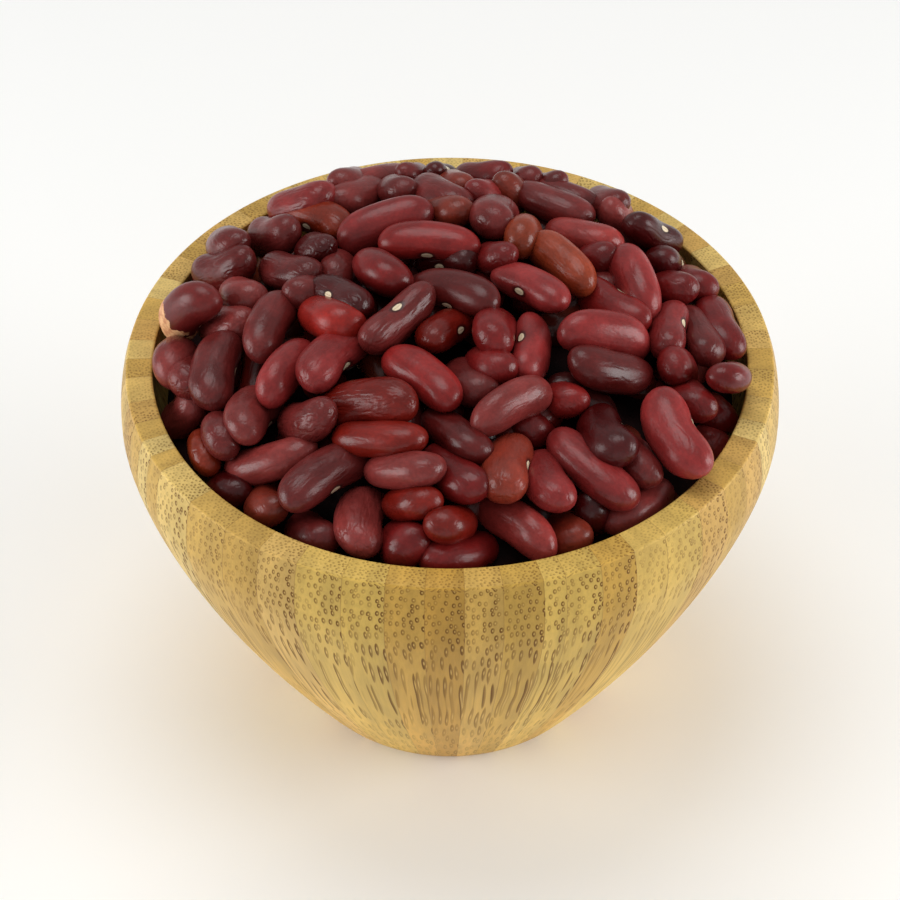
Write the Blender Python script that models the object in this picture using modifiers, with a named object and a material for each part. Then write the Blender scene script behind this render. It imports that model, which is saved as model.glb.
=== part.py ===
"""A turned bamboo bowl heaped with dried kidney beans.

Metres, +Z up. The origin is the middle of the bowl's foot, and the photographed
side faces -Y. The bowl is one turned piece. The heap is one piece: a core that
fills the bowl, with the beans that show fused on it.
"""
import math

import bmesh
import bpy
import numpy as np

MM = 0.001

# Bowl
HEIGHT = 0.080
RIM_RADIUS = 0.060
MOUTH_RADIUS = 0.055
BELLY_RADIUS = 0.0617
BELLY_HEIGHT = 0.0687
FOOT_RADIUS = 0.0326
WALL_POWER = 1.38
WALL_THICKNESS = 0.0060
FLOOR_THICKNESS = 0.0090
FLOOR_CORNER = 0.0120
RIM_ROUNDING = 0.0006
MOUTH_ROUNDING = 0.0005
FOOT_ROUNDING = 0.0008
BOWL_STEPS = 60
BOWL_SHARP_ANGLE = math.radians(35)
BAMBOO_COLOUR = (0.66, 0.50, 0.27, 1.0)

# Heap
HEAP_TOP = HEIGHT + 0.0130
HEAP_EDGE = HEIGHT + 0.0012
HEAP_TILT = 0.050
HEAP_EDGE_RADIUS = 0.050
HEAP_POWER = 2.4
CORE_SINK = 0.0026
CORE_REACH = 0.0050
CORE_NEAR = 0.0055
CORE_TOUCH = 0.0005
WALL_GAP = 0.0004
FLOOR_GAP = 0.0012
CORE_STEPS = 36
CORE_EDGE_ROOM = 0.0010
CORE_CORNER_ANGLES = (62, 45, 28)
CORE_FOOT_SHARE = 0.6
HEAP_SHARP_ANGLE = math.radians(50)
BEAN_COLOUR = (0.13, 0.022, 0.026, 1.0)

# Beans
BEAN_WIDTH = 0.0080
BEAN_THICKNESS = 0.0066
BEAN_BEND = 0.0013
BEAN_END_POWER = 3.8
BEAN_SIDE_POWER = 2.0
BEAN_SIDES = 7
BEAN_RINGS = 5
BALL_SHARES = (-0.74, -0.38, 0.0, 0.38, 0.74)

# The photograph's line of sight
PITCH = math.radians(44.06)
EYE_DISTANCE = 0.420
EYE_TARGET_HEIGHT = 0.0541
FOCUS_PIXELS = 2165.0
MIDDLE_PIXEL = 450.0
SIGHT_REACH = (0.30, 0.50)
SIGHT_STEP = 0.0005
FORWARD = np.array((0.0, math.cos(PITCH), -math.sin(PITCH)))
RIGHT = np.array((1.0, 0.0, 0.0))
UP = np.array((0.0, math.sin(PITCH), math.cos(PITCH)))
EYE = np.array((0.0, 0.0, EYE_TARGET_HEIGHT)) - EYE_DISTANCE * FORWARD

# Each bean that shows: its two ends in the photograph's pixels, with the hollow side on the
# left of the way from the first to the second, how far it lies below the heap's face along
# the line of sight in mm, its roll towards the eye in degrees, its length and width in mm.
SEEN_BEANS = (
    (500, 306, 413, 279, 0.0, 30, 19.0, 8.0),
    (481, 246, 378, 239, -0.5, 32, 19.5, 7.8),
    (434, 206, 336, 243, 0.8, 0, 19.5, 8.0),
    (363, 350, 432, 287, -0.3, 60, 19.0, 8.0),
    (459, 406, 387, 350, -0.5, 25, 19.0, 8.0),
    (419, 401, 317, 410, -0.5, 15, 20.0, 8.8),
    (364, 451, 282, 503, -0.5, 22, 19.5, 8.2),
    (330, 437, 427, 440, 0.0, -70, 18.5, 7.8),
    (363, 471, 444, 469, 0.0, -75, 17.0, 8.0),
    (555, 552, 473, 499, -0.4, -30, 20.0, 8.0),
    (516, 434, 500, 502, -0.5, 25, 17.0, 8.8),
    (552, 386, 471, 427, -0.8, -40, 18.0, 8.0),
    (551, 432, 633, 506, -0.3, -60, 20.5, 8.8),
    (655, 390, 698, 477, -0.5, 5, 19.5, 9.0),
    (567, 362, 656, 377, 0.3, -30, 18.5, 8.2),
    (652, 344, 557, 330, -0.5, -10, 19.0, 8.6),
    (646, 327, 621, 243, -0.3, -60, 19.0, 9.4),
    (591, 293, 532, 234, -0.3, -10, 18.5, 7.6),
    (568, 307, 495, 268, -0.3, 55, 18.0, 8.0),
    (524, 384, 536, 313, 0.2, 48, 17.0, 8.0),
    (505, 313, 488, 354, 0.0, -20, 15.0, 8.6),
    (474, 312, 419, 348, 1.5, 60, 16.0, 8.0),
    (372, 315, 312, 281, -1.2, 75, 17.0, 8.0),
    (358, 252, 407, 293, 0.5, -75, 16.5, 9.4),
    (190, 274, 258, 263, 0.0, 0, 17.0, 8.4),
    (286, 290, 256, 362, -0.5, -20, 18.0, 8.0),
    (222, 329, 212, 411, -0.5, 0, 18.5, 8.6),
    (246, 233, 303, 236, -0.3, 0, 16.0, 8.6),
    (258, 261, 322, 281, 0.3, -30, 17.0, 8.0),
    (301, 306, 362, 332, 0.8, -70, 17.0, 9.2),
    (362, 330, 304, 387, -0.4, 22, 18.5, 8.4),
    (311, 343, 264, 402, 0.2, -45, 17.5, 8.0),
    (269, 388, 238, 443, 0.2, 0, 17.0, 8.8),
    (221, 473, 318, 448, 0.5, -60, 19.5, 8.0),
    (276, 425, 338, 414, 1.0, -30, 17.0, 8.2),
    (366, 487, 360, 557, 0.0, -10, 17.0, 9.0),
    (425, 411, 488, 459, 1.8, -70, 18.0, 7.8),
    (425, 449, 485, 496, 1.5, -20, 18.0, 8.2),
    (537, 450, 561, 511, 0.5, -20, 17.0, 8.2),
    (592, 406, 622, 465, -0.9, 0, 17.5, 8.8),
    (709, 366, 687, 305, 0.3, 45, 17.0, 8.2),
    (677, 300, 661, 360, 0.8, 45, 16.5, 7.8),
    (710, 293, 728, 361, 0.5, -20, 18.0, 8.6),
    (580, 283, 646, 331, 1.5, 10, 17.5, 8.2),
    (622, 223, 680, 246, 0.0, 55, 16.5, 8.0),
    (503, 194, 489, 242, -0.5, 0, 14.5, 9.2),
    (414, 178, 468, 214, 0.0, -45, 16.5, 8.2),
    (514, 186, 592, 222, 0.3, -60, 18.0, 8.0),
    (453, 173, 511, 178, 0.0, -30, 14.5, 7.0),
    (530, 181, 601, 211, 0.8, -80, 17.0, 7.4),
    (545, 226, 620, 248, 0.8, -70, 17.0, 8.0),
    (534, 221, 513, 254, 1.0, -60, 14.5, 8.0),
    (650, 203, 664, 229, -4.5, 0, 13.5, 7.4),
    (589, 189, 624, 215, 0.0, -20, 14.5, 7.4),
    (600, 215, 632, 213, 0.0, 0, 13.0, 7.6),
    (706, 380, 749, 375, -1.0, -80, 13.0, 7.2),
    (352, 234, 284, 204, 0.2, 40, 17.5, 8.0),
    (222, 283, 266, 306, 0.7, -60, 15.0, 7.8),
    (195, 317, 258, 329, -1.0, -20, 16.5, 8.6),
    (219, 292, 162, 332, 1.5, -10, 17.0, 8.8),
    (186, 338, 169, 388, 0.5, -40, 15.5, 8.6),
    (160, 432, 208, 396, 1.0, -45, 15.5, 8.4),
    (199, 432, 214, 475, 1.5, -80, 14.0, 7.2),
    (213, 415, 232, 457, 1.2, -80, 14.5, 7.8),
    (254, 484, 283, 524, 1.2, 0, 14.0, 8.0),
    (290, 515, 334, 550, 1.5, -30, 15.5, 8.2),
    (384, 534, 425, 549, 0.8, -20, 13.0, 9.0),
    (383, 506, 440, 500, 1.2, -80, 15.0, 7.4),
    (427, 528, 475, 519, 1.0, -70, 14.5, 7.6),
    (420, 560, 500, 545, 1.0, -60, 16.5, 8.2),
    (605, 528, 674, 484, 0.8, -70, 18.0, 7.8),
    (631, 436, 645, 487, 1.2, -40, 15.5, 8.0),
    (548, 519, 585, 549, 1.0, -20, 14.0, 9.0),
    (548, 386, 580, 410, 2.0, -40, 14.0, 7.6),
    (474, 251, 517, 262, 1.5, -40, 14.0, 7.2),
    (424, 204, 472, 219, 1.2, -60, 15.0, 8.0),
    (385, 177, 411, 201, 0.0, -30, 14.0, 7.2),
    (333, 209, 384, 179, 0.3, -30, 17.0, 8.0),
    (348, 189, 409, 170, 0.8, -60, 16.0, 7.0),
    (402, 180, 424, 171, 0.8, -20, 13.0, 6.6),
    (424, 176, 456, 173, 1.0, 60, 13.0, 6.0),
    (446, 176, 466, 194, 1.5, -30, 13.0, 7.2),
    (470, 199, 499, 190, 1.0, -30, 13.5, 7.4),
    (510, 174, 537, 185, 0.8, -30, 13.0, 6.6),
    (535, 182, 562, 188, 1.5, -30, 13.0, 6.6),
    (656, 275, 690, 299, 1.0, -40, 14.0, 8.0),
    (682, 270, 705, 299, 1.0, -40, 14.0, 8.4),
    (698, 418, 716, 460, 5.0, -40, 15.0, 8.2),
    (684, 382, 702, 419, 1.0, -40, 14.0, 8.2),
    (708, 396, 721, 430, 5.0, -40, 14.0, 8.0),
    (696, 381, 660, 360, 1.2, 50, 14.0, 8.0),
    (193, 362, 188, 394, 1.5, -30, 12.5, 8.0),
    (212, 233, 248, 253, 0.5, -30, 15.0, 8.2),
    (234, 232, 255, 216, 1.0, -30, 14.0, 8.0),
    (266, 208, 335, 197, 0.5, -50, 16.5, 8.2),
    (345, 261, 335, 284, 3.5, -30, 13.0, 8.0),
    (343, 188, 357, 178, 1.0, -30, 14.0, 8.0),
)

# Settling: how far a bean may slide on its line of sight, and what counts against a place
SLIDE_FORWARD = 0.0012
SLIDE_BACK = 0.0120
SLIDE_STEP = 0.0004
WALL_REACH = 0.0100
WALL_ROOM = 2 * WALL_GAP
TOUCH_DEPTH = 0.0008
TOUCH_COST = 3.0
WALL_COST = 30.0
MOVES_IN = 4

# The least share of its length that a bean shows across the line of sight
LEAST_TURN = 0.08


def outer_radius(height):
    """The bowl's outer radius at a height."""
    if height < BELLY_HEIGHT:
        share = 1.0 - height / BELLY_HEIGHT
        return BELLY_RADIUS - (BELLY_RADIUS - FOOT_RADIUS) * share ** WALL_POWER
    share = (height - BELLY_HEIGHT) / (HEIGHT - BELLY_HEIGHT)
    return BELLY_RADIUS - (BELLY_RADIUS - RIM_RADIUS) * share ** 2


def inner_radius(height):
    """The bowl's inner radius at a height, with a rounded corner at the floor."""
    if height >= HEIGHT:
        return MOUTH_RADIUS
    radius = outer_radius(height) - WALL_THICKNESS
    above = height - FLOOR_THICKNESS
    if above < FLOOR_CORNER:
        radius *= math.sqrt(max(0.0, 1.0 - (1.0 - above / FLOOR_CORNER) ** 2))
    blend = max(0.0, (height - BELLY_HEIGHT) / (HEIGHT - BELLY_HEIGHT))
    return radius + blend ** 2 * (MOUTH_RADIUS - RIM_RADIUS + WALL_THICKNESS)


def rounded_corner(centre, radius, start, end, steps):
    """Points of an arc in the profile's plane, angles in degrees."""
    angles = np.radians(np.linspace(start, end, steps))
    return [(centre[0] + radius * math.cos(a), centre[1] + radius * math.sin(a)) for a in angles]


def bowl_profile():
    """The bowl's section, from the middle of its floor over the rim to the foot's middle."""
    inside = []
    for angle in np.radians(np.linspace(0, 75, 5)):
        height = FLOOR_THICKNESS + FLOOR_CORNER * (1.0 - math.cos(angle))
        inside.append((inner_radius(height), height))
    for height in np.linspace(FLOOR_THICKNESS + FLOOR_CORNER, HEIGHT - MOUTH_ROUNDING, 7):
        inside.append((inner_radius(height), height))
    mouth_centre = (MOUTH_RADIUS + MOUTH_ROUNDING, HEIGHT - MOUTH_ROUNDING)
    mouth = rounded_corner(mouth_centre, MOUTH_ROUNDING, 135, 90, 2)
    rim_centre = (RIM_RADIUS - RIM_ROUNDING, HEIGHT - RIM_ROUNDING)
    rim = rounded_corner(rim_centre, RIM_ROUNDING, 90, 0, 3)
    outside = []
    for height in np.linspace(HEIGHT - RIM_ROUNDING, FOOT_ROUNDING, 10)[1:]:
        outside.append((outer_radius(height), height))
    foot = [(FOOT_RADIUS - FOOT_ROUNDING, 0.0), (0.0, 0.0)]
    return inside + mouth + rim + outside + foot


def heap_height(radius):
    """Mean height of the bean middles in the heap's face at a radius."""
    share = (radius / HEAP_EDGE_RADIUS) ** HEAP_POWER
    return HEAP_TOP - (HEAP_TOP - HEAP_EDGE) * share


def face_height(x, y):
    """Height of the bean middles in the heap's face, which is a little higher at the back."""
    return heap_height(np.hypot(x, y)) + HEAP_TILT * y


def heap_normal(point):
    """The way out of the heap's face above a point."""
    radius = math.hypot(point[0], point[1]) + 1e-9
    rise = -(HEAP_TOP - HEAP_EDGE) * HEAP_POWER / HEAP_EDGE_RADIUS
    rise *= (radius / HEAP_EDGE_RADIUS) ** (HEAP_POWER - 1.0)
    normal = np.array((-rise * point[0] / radius, -rise * point[1] / radius - HEAP_TILT, 1.0))
    return normal / np.linalg.norm(normal)


def core_profile():
    """The core's section, from its top over its edge and down the bowl's wall to its floor."""
    edge = MOUTH_RADIUS - WALL_GAP
    points = [(0.0, heap_height(0.0) - CORE_SINK)]
    for radius in np.linspace(0.0, edge - CORE_EDGE_ROOM, 9)[1:]:
        points.append((radius, heap_height(radius) - CORE_SINK))
    shoulder = points[-1][1]
    floor = FLOOR_THICKNESS + FLOOR_GAP
    for height in np.linspace(shoulder, floor + FLOOR_CORNER, 8)[1:]:
        points.append((min(edge, inner_radius(height) - FLOOR_GAP), height))
    for angle in np.radians(CORE_CORNER_ANGLES):
        height = floor + FLOOR_CORNER * (1.0 - math.cos(angle))
        points.append((inner_radius(height - FLOOR_GAP) - FLOOR_GAP, height))
    points.append((points[-1][0] * CORE_FOOT_SHARE, floor))
    points.append((0.0, floor))
    return points


def line_of_sight(pixel):
    """The direction from the eye through a pixel of the photograph."""
    right = (pixel[0] - MIDDLE_PIXEL) / FOCUS_PIXELS
    up = (MIDDLE_PIXEL - pixel[1]) / FOCUS_PIXELS
    ray = FORWARD + right * RIGHT + up * UP
    return ray / np.linalg.norm(ray)


def face_point(ray):
    """Where a line of sight meets the heap's face, or passes it closest."""
    reach = np.arange(*SIGHT_REACH, SIGHT_STEP)
    points = EYE + reach[:, None] * ray
    above = points[:, 2] - face_height(points[:, 0], points[:, 1])
    below = np.nonzero(above < 0.0)[0]
    return points[below[0] if len(below) else int(np.argmin(above))]


def bean_frame(first, second, length, width, roll, point):
    """A bean's three directions: along it, to its hollow side, and out of its flat side."""
    scale = FOCUS_PIXELS / np.dot(point - EYE, FORWARD)
    seen = ((second[0] - first[0]) / scale) * RIGHT - ((second[1] - first[1]) / scale) * UP
    seen_half = np.linalg.norm(seen) / 2
    end_half = width / 2
    turn = (seen_half ** 2 - end_half ** 2) / ((length / 2) ** 2 - end_half ** 2)
    turn = math.sqrt(min(1.0, max(LEAST_TURN, turn)))
    lean = math.sqrt(1.0 - turn ** 2)
    seen /= np.linalg.norm(seen)
    normal = heap_normal(point)
    along = min((seen * turn + FORWARD * lean, seen * turn - FORWARD * lean),
                key=lambda way: abs(np.dot(way, normal)))
    to_eye = -FORWARD + np.dot(FORWARD, along) * along
    to_eye /= np.linalg.norm(to_eye)
    hollow = np.cross(to_eye, along)
    angle = math.radians(roll)
    side = hollow * math.cos(angle) + to_eye * math.sin(angle)
    return np.array((along, side, np.cross(along, side)))


def bean_balls(way, length, width):
    """Balls that fill a bean, as offsets from its middle, and their radii."""
    thickness = width * BEAN_THICKNESS / BEAN_WIDTH
    spread = (width - thickness) / 2
    offsets = []
    radii = []
    for share in BALL_SHARES:
        full = (1.0 - abs(share) ** BEAN_END_POWER) ** (1.0 / BEAN_SIDE_POWER)
        bend = BEAN_BEND * (share ** 2 - 0.5)
        for row in (-1.0, 1.0):
            local = (share * length / 2, bend + row * spread * full, 0.0)
            offsets.append(np.dot(local, way))
            radii.append(thickness / 2 * full)
    return np.array(offsets), np.array(radii)


def wall_room(centres, radii):
    """The least gap between balls and the bowl."""
    radius = np.hypot(centres[:, 0], centres[:, 1])
    inside = np.array([inner_radius(height) for height in np.minimum(centres[:, 2], HEIGHT)])
    over = centres[:, 2] - HEIGHT
    room = np.where(over < 0.0, inside - radius, np.where(
        radius < MOUTH_RADIUS, np.hypot(MOUTH_RADIUS - radius, over), over))
    return float(np.min(room - radii))


def free_slide(start, way, offsets, radii):
    """The shortest slide along a way, back or forth, at which the bowl leaves room."""
    for slide in sorted(np.arange(-WALL_REACH, WALL_REACH, SLIDE_STEP), key=abs):
        if wall_room(start + slide * way + offsets, radii) >= WALL_ROOM:
            return slide
    return 0.0


def moved_in(middle, offsets, radii):
    """A bean's middle, moved towards the bowl's axis until the wall leaves room."""
    for _ in range(MOVES_IN):
        short = WALL_ROOM - wall_room(middle + offsets, radii)
        if short > 0.0:
            inward = -middle * np.array((1.0, 1.0, 0.0))
            middle = middle + inward / np.linalg.norm(inward) * short
    return middle


class Heap:
    """The beans laid so far, each as its middle, directions, length and width."""

    def __init__(self):
        self.beans = []
        self.centres = np.zeros((0, 3))
        self.radii = np.zeros(0)

    def overlap(self, centres, radii):
        """How deep balls reach into the beans already laid."""
        if not len(self.radii):
            return 0.0
        apart = np.linalg.norm(centres[:, None] - self.centres[None], axis=2)
        return float(np.max(radii[:, None] + self.radii[None] - apart))

    def lay(self, start, way, directions, length, width):
        """Put a bean near a place, slid along a way: clear of the bowl, then of the others."""
        offsets, radii = bean_balls(directions, length, width)
        clear = free_slide(start, way, offsets, radii)
        best = None
        for slide in np.arange(clear - SLIDE_FORWARD, clear + SLIDE_BACK, SLIDE_STEP):
            centres = start + slide * way + offsets
            depth = max(0.0, self.overlap(centres, radii) - TOUCH_DEPTH)
            short = max(0.0, WALL_ROOM - wall_room(centres, radii))
            cost = abs(slide - clear) + TOUCH_COST * depth + WALL_COST * short
            if best is None or cost < best[0]:
                best = (cost, start + slide * way)
        middle = moved_in(best[1], offsets, radii)
        self.beans.append((middle, directions, length, width))
        self.centres = np.vstack((self.centres, middle + offsets))
        self.radii = np.concatenate((self.radii, radii))

    def lay_seen(self):
        """Lay the beans that show, given by their ends in the photograph."""
        for u1, v1, u2, v2, sink, roll, length, width in SEEN_BEANS:
            ray = line_of_sight(((u1 + u2) / 2, (v1 + v2) / 2))
            point = face_point(ray)
            directions = bean_frame((u1, v1), (u2, v2), length * MM, width * MM, roll, point)
            self.lay(point + sink * MM * ray, ray, directions, length * MM, width * MM)


def bean_points(ball, length, width):
    """A bean's own points, from a unit ball's points with the poles on its length."""
    share = ball[:, 0]
    ring = np.hypot(ball[:, 1], ball[:, 2])
    ring = np.where(ring < 1e-6, 1.0, ring)
    full = np.clip(1.0 - np.abs(share) ** BEAN_END_POWER, 0.0, 1.0) ** (1.0 / BEAN_SIDE_POWER)
    thickness = width * BEAN_THICKNESS / BEAN_WIDTH
    bend = BEAN_BEND * (share ** 2 - 0.5)
    across = bend + ball[:, 1] / ring * full * width / 2
    through = ball[:, 2] / ring * full * thickness / 2
    return np.stack((share * length / 2, across, through), axis=1)


def bean_mesh(name, middle, directions, length, width):
    """A bean's mesh: a ball drawn out, flattened and bent."""
    form = bmesh.new()
    bmesh.ops.create_uvsphere(form, u_segments=BEAN_SIDES, v_segments=BEAN_RINGS, radius=1.0)
    ball = np.array([(vert.co.z, vert.co.x, vert.co.y) for vert in form.verts])
    points = middle + bean_points(ball, length, width) @ directions
    for vert, point in zip(form.verts, points):
        vert.co = point
    mesh = bpy.data.meshes.new(name)
    form.to_mesh(mesh)
    form.free()
    return mesh


def clear_scene():
    for thing in list(bpy.data.objects):
        bpy.data.objects.remove(thing, do_unlink=True)


def make_collection(name):
    group = bpy.data.collections.new(name)
    bpy.context.scene.collection.children.link(group)
    return group


def make_material(name, colour, roughness):
    material = bpy.data.materials.new(name)
    material.use_nodes = True
    shader = material.node_tree.nodes["Principled BSDF"]
    shader.inputs["Base Color"].default_value = colour
    shader.inputs["Roughness"].default_value = roughness
    shader.inputs["Metallic"].default_value = 0.0
    return material


def make_turned(name, profile, steps, group, material):
    """A piece turned about +Z from a profile in the XZ plane."""
    mesh = bpy.data.meshes.new(name)
    edges = [(i, i + 1) for i in range(len(profile) - 1)]
    mesh.from_pydata([(radius, 0.0, height) for radius, height in profile], edges, [])
    piece = bpy.data.objects.new(name, mesh)
    group.objects.link(piece)
    screw = piece.modifiers.new("Turn", "SCREW")
    screw.axis = "Z"
    screw.angle = 2.0 * math.pi
    screw.steps = steps
    screw.render_steps = steps
    screw.use_merge_vertices = True
    screw.merge_threshold = 0.00002
    piece.data.materials.append(material)
    return piece


def bake(piece):
    """Replace a piece's mesh with its evaluated one, without the modifiers."""
    evaluated = piece.evaluated_get(bpy.context.evaluated_depsgraph_get())
    mesh = bpy.data.meshes.new_from_object(evaluated)
    piece.modifiers.clear()
    piece.data = mesh


def settle_core(mesh, beans):
    """Let the core's top follow the beans on it, a little below them and up to the highest."""
    middles = np.array([bean[0] for bean in beans])
    edge = heap_height(MOUTH_RADIUS - WALL_GAP - CORE_EDGE_ROOM) - CORE_SINK
    for vert in mesh.vertices:
        if vert.co.z > edge - CORE_EDGE_ROOM:
            apart = np.hypot(middles[:, 0] - vert.co.x, middles[:, 1] - vert.co.y)
            weights = np.exp(-(apart / CORE_REACH) ** 2)
            height = np.dot(weights, middles[:, 2]) / np.sum(weights) - CORE_SINK
            near = middles[apart < CORE_NEAR, 2] - BEAN_THICKNESS / 2 + CORE_TOUCH
            vert.co.z = max(height, *near) if len(near) else height


def keep_main_body(mesh):
    """Drop every loose scrap and sealed hollow, and leave triangles."""
    form = bmesh.new()
    form.from_mesh(mesh)
    bmesh.ops.triangulate(form, faces=form.faces)
    waiting = set(form.faces)
    bodies = []
    while waiting:
        body = set()
        edge_of_body = [waiting.pop()]
        while edge_of_body:
            face = edge_of_body.pop()
            body.add(face)
            near = {other for edge in face.edges for other in edge.link_faces}
            near &= waiting
            waiting -= near
            edge_of_body.extend(near)
        bodies.append(body)
    main = max(bodies, key=len)
    scraps = [face for face in form.faces if face not in main]
    bmesh.ops.delete(form, geom=scraps, context="FACES")
    form.to_mesh(mesh)
    form.free()


def make_bowl(group):
    material = make_material("bamboo", BAMBOO_COLOUR, 0.5)
    bowl = make_turned("bowl", bowl_profile(), BOWL_STEPS, group, material)
    bake(bowl)
    bowl.data.shade_smooth()
    bowl.data.set_sharp_from_angle(angle=BOWL_SHARP_ANGLE)
    return bowl


def make_heap(group, helpers):
    """The core with the beans fused on it."""
    material = make_material("bean skin", BEAN_COLOUR, 0.4)
    heap = make_turned("beans", core_profile(), CORE_STEPS, group, material)
    bake(heap)
    laid = Heap()
    laid.lay_seen()
    settle_core(heap.data, laid.beans)
    for index, (middle, directions, length, width) in enumerate(laid.beans):
        name = f"bean_{index:03d}"
        bean = bpy.data.objects.new(name, bean_mesh(name, middle, directions, length, width))
        bean.hide_render = True
        bean.display_type = "WIRE"
        helpers.objects.link(bean)
    union = heap.modifiers.new("Beans", "BOOLEAN")
    union.operation = "UNION"
    union.operand_type = "COLLECTION"
    union.collection = helpers
    union.solver = "EXACT"
    bake(heap)
    for bean in list(helpers.objects):
        bpy.data.objects.remove(bean, do_unlink=True)
    keep_main_body(heap.data)
    heap.data.shade_smooth()
    heap.data.set_sharp_from_angle(angle=HEAP_SHARP_ANGLE)
    return heap


def main():
    clear_scene()
    group = make_collection("bowl_of_beans")
    helpers = make_collection("bean_pieces")
    make_bowl(group)
    make_heap(group, helpers)


main()
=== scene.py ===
"""Looks of a bamboo bowl heaped with dried kidney beans.

Metres, +Z up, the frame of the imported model. The photographed side faces -Y.
"""

import math

import bmesh
import bpy
import numpy as np
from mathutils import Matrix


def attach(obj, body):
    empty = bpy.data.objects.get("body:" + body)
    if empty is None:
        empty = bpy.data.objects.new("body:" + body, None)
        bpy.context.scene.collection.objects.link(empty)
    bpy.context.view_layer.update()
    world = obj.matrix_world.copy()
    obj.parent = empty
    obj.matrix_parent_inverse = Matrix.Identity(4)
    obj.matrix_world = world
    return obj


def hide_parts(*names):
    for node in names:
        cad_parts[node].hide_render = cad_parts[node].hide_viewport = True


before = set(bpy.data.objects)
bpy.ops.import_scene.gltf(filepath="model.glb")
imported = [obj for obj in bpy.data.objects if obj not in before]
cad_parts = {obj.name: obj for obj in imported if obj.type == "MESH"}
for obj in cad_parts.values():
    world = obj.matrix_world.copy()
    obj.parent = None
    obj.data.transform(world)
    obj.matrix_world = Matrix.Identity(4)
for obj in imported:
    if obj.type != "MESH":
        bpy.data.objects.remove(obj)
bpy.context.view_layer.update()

MM = 0.001

# Bowl, as in the solids
HEIGHT = 0.080
RIM_RADIUS = 0.060
MOUTH_RADIUS = 0.055
BELLY_RADIUS = 0.0617
BELLY_HEIGHT = 0.0687
FOOT_RADIUS = 0.0326
WALL_POWER = 1.38
WALL_THICKNESS = 0.0060
FLOOR_THICKNESS = 0.0090
FLOOR_CORNER = 0.0120
RIM_ROUNDING = 0.0006
MOUTH_ROUNDING = 0.0005
FOOT_ROUNDING = 0.0008

# Steps and arcs, in degrees, along the bowl's section
CORNER_END = 80
CORNER_STEPS = 8
INNER_STEPS = 22
MOUTH_ARC = (160, 90, 5)
RIM_ARC = (90, 0, 7)
OUTER_STEPS = 46
FOOT_ARC = (-20, -90, 4)

# Staves: seams that the photograph shows, in degrees from the front towards +X, the widths
# of the others, and the way that the fibres run in each stave, up from the floor outwards
SEAMS = (-57.7, -48.5, -39.7, -32.5, -25.5, -17.5, -10.4, -4.0, 2.3, 8.5, 15.1, 18.8, 25.0,
         31.3, 37.6, 45.6)
STAVE_WIDTHS = (4.6, 7.6)
STAVE_COLUMNS = 6
STAVE_SHIFT = 60.0
STAVE_DENSITIES = (0.35, 1.0)
LAST_STAVES = 1.5 * STAVE_WIDTHS[1]
FIBRE_SLOPE = math.radians(68.5)
STAVE_SEED = 21

# The stretch of a line of sight that is searched for the heap's face
SIGHT_REACH = (0.30, 0.50)
SIGHT_STEP = 0.0005

# Heap
HEAP_TOP = HEIGHT + 0.0130
HEAP_EDGE = HEIGHT + 0.0012
HEAP_TILT = 0.050
HEAP_EDGE_RADIUS = 0.050
HEAP_POWER = 2.4
WALL_GAP = 0.0004
CORE_DEPTH = 0.0085
CORE_FLOOR = 0.055
CORE_ROOM = 0.002
CORE_WALL_ROOM = 0.001
CORE_RINGS = 22
CORE_STEPS = 96
CORE_MERGE = 0.00002

# Beans
BEAN_LENGTH = 0.0185
BEAN_WIDTH = 0.0080
BEAN_THICKNESS = 0.0066
BEAN_BEND = 0.0013
BEAN_END_POWER = 3.8
BEAN_SIDE_POWER = 2.0
BEAN_SIDES = 28
BEAN_RINGS = 22
UNDER_SIDES = 18
UNDER_RINGS = 13
HOLLOW_DEPTH = 0.00045
HOLLOW_LENGTH = 0.0026
LUMP_HEIGHT = 0.00007
BALL_SHARES = (-0.74, -0.38, 0.0, 0.38, 0.74)

# How uneven the beans are: shares of the values above, the taper to one end, and two waves of
# lumps, each with its turns along the bean and round it and its share of the height
END_RANGE = (0.85, 1.15)
TAPER_RANGE = (-0.07, 0.07)
THICKNESS_RANGE = (0.96, 1.04)
BEND_RANGE = (0.6, 1.2)
HOLLOW_RANGE = (0.4, 1.4)
LUMP_WAVES = ((4.1, 2.0, 1.0), (7.3, 3.0, 0.6))
TINT_RANGE = (0.86, 1.14)
SKIN_SHIFT = 90.0
TINY = 1e-6
TINIER = 1e-9
BEAN_SEED = 11

# The photograph's line of sight
PITCH = math.radians(44.06)
EYE_DISTANCE = 0.420
EYE_TARGET_HEIGHT = 0.0541
FOCUS_PIXELS = 2165.0
MIDDLE_PIXEL = 450.0
SENSOR = 36.0
FORWARD = np.array((0.0, math.cos(PITCH), -math.sin(PITCH)))
RIGHT = np.array((1.0, 0.0, 0.0))
UP = np.array((0.0, math.sin(PITCH), math.cos(PITCH)))
EYE = np.array((0.0, 0.0, EYE_TARGET_HEIGHT)) - EYE_DISTANCE * FORWARD

# Skin tones of the beans, as seen in soft light
TONES = {
    "wine": (98, 31, 29),
    "mauve": (122, 46, 43),
    "pink": (128, 38, 37),
    "deep": (106, 21, 20),
    "bright": (131, 30, 28),
    "scarlet": (136, 28, 21),
    "orange": (120, 36, 15),
    "russet": (109, 21, 12),
    "tan": (119, 42, 28),
    "dark": (68, 8, 8),
    "chipped": (104, 28, 26),
    "maroon": (84, 20, 18),
    "rose": (144, 50, 46),
    "amber": (134, 52, 28),
}

# The place of the tone in a bean's row, counted from zero, and the pieces that the beans are
# made in, by their tones
TONE_PLACE = 5
KINDS = {
    "beans_red": ("deep", "bright", "scarlet", "chipped", "maroon"),
    "beans_wine": ("wine", "mauve", "pink", "rose"),
    "beans_brown": ("orange", "russet", "tan", "dark", "amber"),
}

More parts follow.
